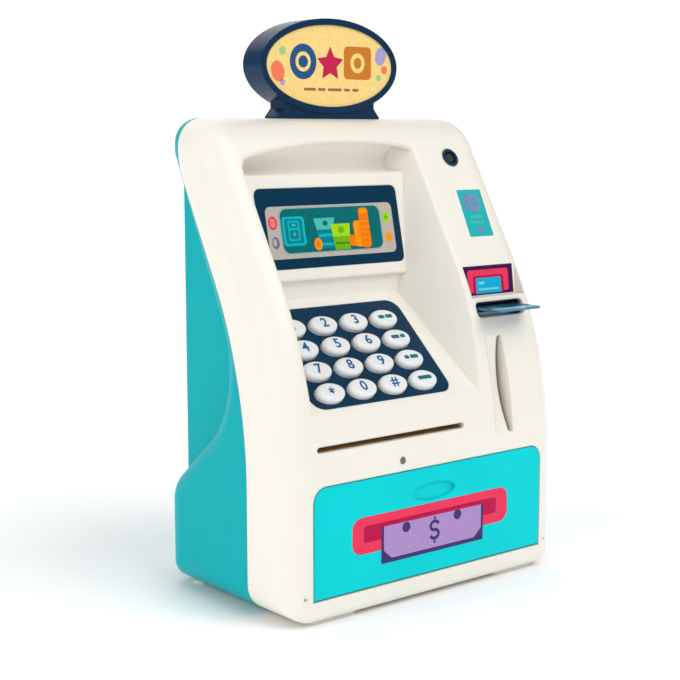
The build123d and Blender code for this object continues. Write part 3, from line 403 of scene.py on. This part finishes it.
# ---- screen print -----------------------------------------------------------------------------
window = middle("screen_window")
ART_UP, ICONS_LEFT = 1.4, 1.3
screen = leaning((0, window.y, window.z), SCREEN_TILT, ART_UP - WINDOW_LOW - WINDOW_H / 2, WINDOW_HALF)
for label, layer, ink, outlines in (
        ("lcd_bezel", 1, "bezel", [rounded(-50.0, 19.7, 8.6, 30.9, 2.6)]),
        ("lcd_rim", 2, "rim", [rounded(-43.4, 12.9, 10.3, 30.3, 3.9)]),
        ("lcd_display", 3, "display", [rounded(-42.7, 12.2, 10.9, 29.7, 3.4)]),
        ("icon_safe", 4, "cyan", [rounded(-40.9, -29.0, 13.9, 26.4, 1.6),
                                  rounded(-39.6, -30.3, 15.0, 25.4, 0.9)]),
        ("icon_safe_body", 4, "deep", [rounded(-39.6, -30.3, 15.0, 25.4, 0.9)]),
        ("icon_safe_door", 5, "cyan", [rounded(-38.0, -31.9, 16.0, 24.6, 0.8),
                                       rounded(-37.2, -32.7, 16.8, 20.6, 0.5),
                                       rounded(-37.2, -32.7, 21.6, 23.9, 0.5)]),
        ("icon_safe_knob", 5, "pale", [oval(-34.9, 18.8, 0.7), rounded(-36.0, -33.8, 22.3, 23.2, 0.3)]),
        ("icon_notes_low", 4, "deep", [[(-22.2, 12.2), (-14.0, 12.2), (-13.6, 20.2), (-22.8, 20.2)]]),
        ("icon_notes_band", 5, "cyan", [rounded(-21.9, -14.2, 13.4, 14.4, 0.3),
                                        rounded(-22.2, -14.2, 17.2, 18.4, 0.3)]),
        ("icon_notes", 5, "pale", [[(-22.8, 20.2), (-14.0, 20.2), (-12.4, 25.2), (-24.0, 25.2)],
                                   oval(-17.8, 22.9, 1.4, 1.1)]),
        ("icon_coin", 6, "amber", [oval(-22.9, 14.1, 2.1, 2.7)]),
        ("icon_coin_eye", 7, "tangerine", [oval(-22.9, 14.1, 1.1, 1.6)]),
        ("icon_bills_low", 6, "leaf", [[(-13.8, 11.1), (-5.4, 11.1), (-5.0, 16.8), (-14.4, 16.8)]]),
        ("icon_bills_band", 7, "moss", [rounded(-13.6, -5.6, 13.6, 14.3, 0.3)]),
        ("icon_bills", 7, "lime", [[(-14.4, 16.8), (-5.0, 16.8), (-4.4, 22.4), (-15.0, 22.4)]]),
        ("icon_bills_eye", 8, "leaf", [oval(-9.6, 19.7, 1.7, 1.5)]),
        ("icon_stack_low", 7, "tangerine", [rounded(-5.4, 0.0, 12.4, 17.2, 1.3)]),
        ("icon_stack_mid", 8, "amber", [rounded(-2.4, 2.5, 11.9, 23.4, 1.6)]),
        ("icon_stack_high", 9, "tangerine", [rounded(1.2, 6.6, 11.3, 28.9, 1.8)]),
        ("icon_stack_lid", 10, "amber",
         [oval(3.9, 27.4, 2.3, 1.4)]
         + [rounded(1.6, 6.2, z, z + 0.7, 0.3) for z in (13.0, 15.4, 17.8, 20.2, 22.6)]),
        ("icon_ring", 2, "pink", [oval(-46.8, 24.0, 2.3, 2.9), oval(-46.8, 24.0, 1.3, 1.8)]),
        ("icon_ring_eye", 2, "coral", [oval(-46.8, 24.0, 1.0, 1.4)]),
        ("icon_heart", 2, "mauve", [oval(-46.4, 15.6, 1.9, 2.6), oval(-46.8, 15.8, 1.0, 1.6)]),
        ("icon_leaf", 2, "lime", [oval(15.8, 24.2, 1.9, 2.5)]),
        ("icon_leaf_eye", 3, "leaf", [star(15.8, 24.2, 1.5, 0.7)]),
        ("icon_sun", 2, "amber", [oval(16.0, 15.4, 1.8, 2.4)])):
    shift = ICONS_LEFT if layer > 3 else 0.0
    moved = [[(x - shift, y) for x, y in points] for points in outlines]
    plate(label, moved, screen, layer, INK[ink], "body")

# ---- keypad print -----------------------------------------------------------------------------
panel = middle("keypad_panel")
MARKS = ("1", "2", "3", None, "4", "5", "6", None, "7", "8", "9", None, "*", "0", "#", None)
MARK_SIZE, STAR_DROP = 6.6, 1.2
DASHES, DASH_GAP, DASH_HALF = ((3.2, 3.8), (4.2, 2.6), (2.4, 4.4), (7.4,)), 0.7, 0.95
for index, mark in enumerate(MARKS):
    row, col = divmod(index, 4)
    spot = (panel.x - KEYS_LEFT_OF_PANEL + (col - 1.5) * KEY_PITCH_X, panel.y, panel.z)
    up = -KEYS_BELOW_PANEL + (1.5 - row) * KEY_PITCH_UP
    top = leaning(spot, 90 - KEY_TILT, up, PANEL_HALF + KEY_TOP)
    body = f"key_{index + 1:02d}"
    if mark:
        lift = -STAR_DROP if mark == "*" else 0.0
        place = top @ Matrix.Translation((0, lift * MM, 0))
        lettered(body + "_mark", mark, MARK_SIZE, place, INK["digit"], body)
    else:
        widths = DASHES[row]
        x = -(sum(widths) + DASH_GAP * (len(widths) - 1)) / 2
        dashes = []
        for width in widths:
            dashes.append(rounded(x, x + width, -DASH_HALF, DASH_HALF, 0.5))
            x += width + DASH_GAP
        plate(body + "_mark", dashes, top, 1, INK["mark"], body)

# ---- right-hand column ------------------------------------------------------------------------
STICKER_X, STICKER_UP, STICKER_Z, STICKER_SKEW = 56.4, 0.2, 159.0, 0.09
sticker = leaning((0, front_y(STICKER_Z), STICKER_Z), LEAN)
for label, layer, ink, outlines in (
        ("sticker", 1, "sticker", [rounded(-7.4, 7.4, -11.8, 11.8, 0.6)]),
        ("sticker_disc_1", 2, "dusk", [oval(-1.7, 5.2, 3.9, 4.4)]),
        ("sticker_disc_2", 3, "haze", [oval(1.6, 5.2, 3.6, 4.3), oval(1.6, 5.2, 2.3, 3.0)]),
        ("sticker_bars", 2, "pale", [rounded(-3.4, 4.0, -2.6, -1.2, 0.4),
                                     rounded(-4.4, 3.9, -5.4, -4.2, 0.4)]),
        ("sticker_disc_3", 2, "dusk", [oval(0.3, -8.3, 2.1, 1.8)])):
    moved = [[(x + STICKER_X + STICKER_SKEW * y, y + STICKER_UP) for x, y in points] for points in outlines]
    plate(label, moved, sticker, layer, INK[ink], "body")

card_low, card_high = (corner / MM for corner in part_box("card"))
slot_x = (card_low.x + card_high.x) / 2
pocket_y = front_y(POCKET_HIGH) - (POCKET_HIGH - POCKET_LOW) * tan(radians(POCKET_TILT))
pocket = leaning((slot_x, pocket_y, POCKET_LOW), POCKET_TILT)
for label, layer, ink, outlines in (
        ("card_plate", 1, "plum", [rounded(-15.9, 15.9, 0.25, 13.3, 0.5)]),
        ("card_plate_arch", 2, "pink", [rounded(-12.6, 13.0, 1.5, 11.5, 1.3)]),
        ("card_plate_inner", 3, "crimson", [rounded(-9.3, 9.7, 0.9, 8.8, 0.8)]),
        ("card_plate_card", 4, "azure", [rounded(-7.6, 8.0, 0.9, 7.8, 0.7)]),
        ("card_plate_lines", 5, "sky", [rounded(-6.2, -2.4, 4.9, 6.2, 0.3),
                                        rounded(-6.2, 6.4, 2.3, 3.2, 0.3)])):
    plate(label, outlines, pocket, layer, INK[ink], "body")

card_top = Matrix.Translation((slot_x * MM, card_low.y * MM, card_high.z * MM))
plate("card_band", [rounded(-13.2, 13.2, 3.0, 5.6, 0.2)], card_top, 1, INK["sky"], "card")
plate("card_chip", [rounded(-10.4, -5.0, 7.2, 11.4, 0.8)], card_top, 1, BRASS, "card")
plate("card_dots", [oval(8.0, 9.2, 2.3), oval(10.6, 9.2, 2.3)], card_top, 1, INK["navy"], "card")

# ---- floor, light and camera ------------------------------------------------------------------
FLOOR_REACH = 12.0              # metres, as all lengths below
PAINTED_SHADOW_REACH = 0.030           # painted shadow: the floor darkens this near to the feet
SOFT_WORLD, BRIGHT_WORLD = 0.42, 1.05
LENS_MM, SENSOR_MM = 75.64, 36.0
CAMERA_PLACE = (-0.40337, -0.47283, 0.19534)
CAMERA_DOWN, CAMERA_TURN = 8.2746, -39.438

floor_mesh = bpy.data.meshes.new("floor")
corners = [(x * FLOOR_REACH, y * FLOOR_REACH, 0) for x, y in ((-1, -1), (1, -1), (1, 1), (-1, 1))]
floor_mesh.from_pydata(corners, [], [(0, 1, 2, 3)])
floor = bpy.data.objects.new("floor", floor_mesh)
bpy.context.scene.collection.objects.link(floor)
paper = Graph("paper")
tone = paper.blend(paper.noise(3.0), (0.93, 0.93, 0.93), (0.95, 0.95, 0.95))
paper.links.new(tone, paper.shader.inputs["Base Color"])
paper.shader.inputs["Roughness"].default_value = 0.9
paper.shader.inputs["Specular IOR Level"].default_value = 0.1
paper.shader.inputs["Emission Color"].default_value = (1, 1, 1, 1)
# Painted contact shadow: an ambient-occlusion node lowers the floor's glow close to the object, so the floor
# is darker there than the lamps alone make it.
contact_shadow_ao = paper.nodes.new("ShaderNodeAmbientOcclusion")
contact_shadow_ao.samples = 8
contact_shadow_ao.inputs["Distance"].default_value = PAINTED_SHADOW_REACH
glow_dimmed_for_painted_shadow = paper.remap(contact_shadow_ao.outputs["AO"], 0.0, 0.18, 0.45, 0.95)
paper.links.new(glow_dimmed_for_painted_shadow, paper.shader.inputs["Emission Strength"])
floor_mesh.materials.append(paper.mat)

world = bpy.data.worlds.new("studio")
world.use_nodes = True
bpy.context.scene.world = world
sky = world.node_tree
background = sky.nodes["Background"]
background.inputs["Color"].default_value = (1, 1, 1, 1)
background.inputs["Strength"].default_value = SOFT_WORLD
bright = sky.nodes.new("ShaderNodeBackground")
bright.inputs["Color"].default_value = (1, 1, 1, 1)
bright.inputs["Strength"].default_value = BRIGHT_WORLD
path = sky.nodes.new("ShaderNodeLightPath")
mix = sky.nodes.new("ShaderNodeMixShader")
sky.links.new(path.outputs["Is Camera Ray"], mix.inputs["Fac"])
sky.links.new(background.outputs["Background"], mix.inputs[1])
sky.links.new(bright.outputs["Background"], mix.inputs[2])
sky.links.new(mix.outputs["Shader"], sky.nodes["World Output"].inputs["Surface"])


def sun(name, toward, strength, angle, glossy=True):
    """Wide soft sun that stands in the given direction; angle is its width in degrees."""
    light = bpy.data.lights.new(name, "SUN")
    light.energy = strength
    light.angle = radians(angle)
    lamp = bpy.data.objects.new(name, light)
    lamp.rotation_euler = Vector(toward).to_track_quat("Z", "Y").to_euler()
    lamp.visible_glossy = glossy
    bpy.context.scene.collection.objects.link(lamp)


sun("key", (0.32, -0.75, 0.95), 1.42, 45)
sun("side", (-0.95, 0.05, 0.38), 1.20, 50, glossy=False)
sun("back", (0.30, 0.85, 0.60), 0.60, 60)

camera_data = bpy.data.cameras.new("camera")
camera_data.lens = LENS_MM
camera_data.sensor_width = SENSOR_MM
camera = bpy.data.objects.new("camera", camera_data)
camera.location = CAMERA_PLACE
camera.rotation_euler = (radians(90 - CAMERA_DOWN), 0, radians(CAMERA_TURN))
bpy.context.scene.collection.objects.link(camera)
bpy.context.scene.camera = camera
bpy.context.scene.view_settings.view_transform = "Standard"
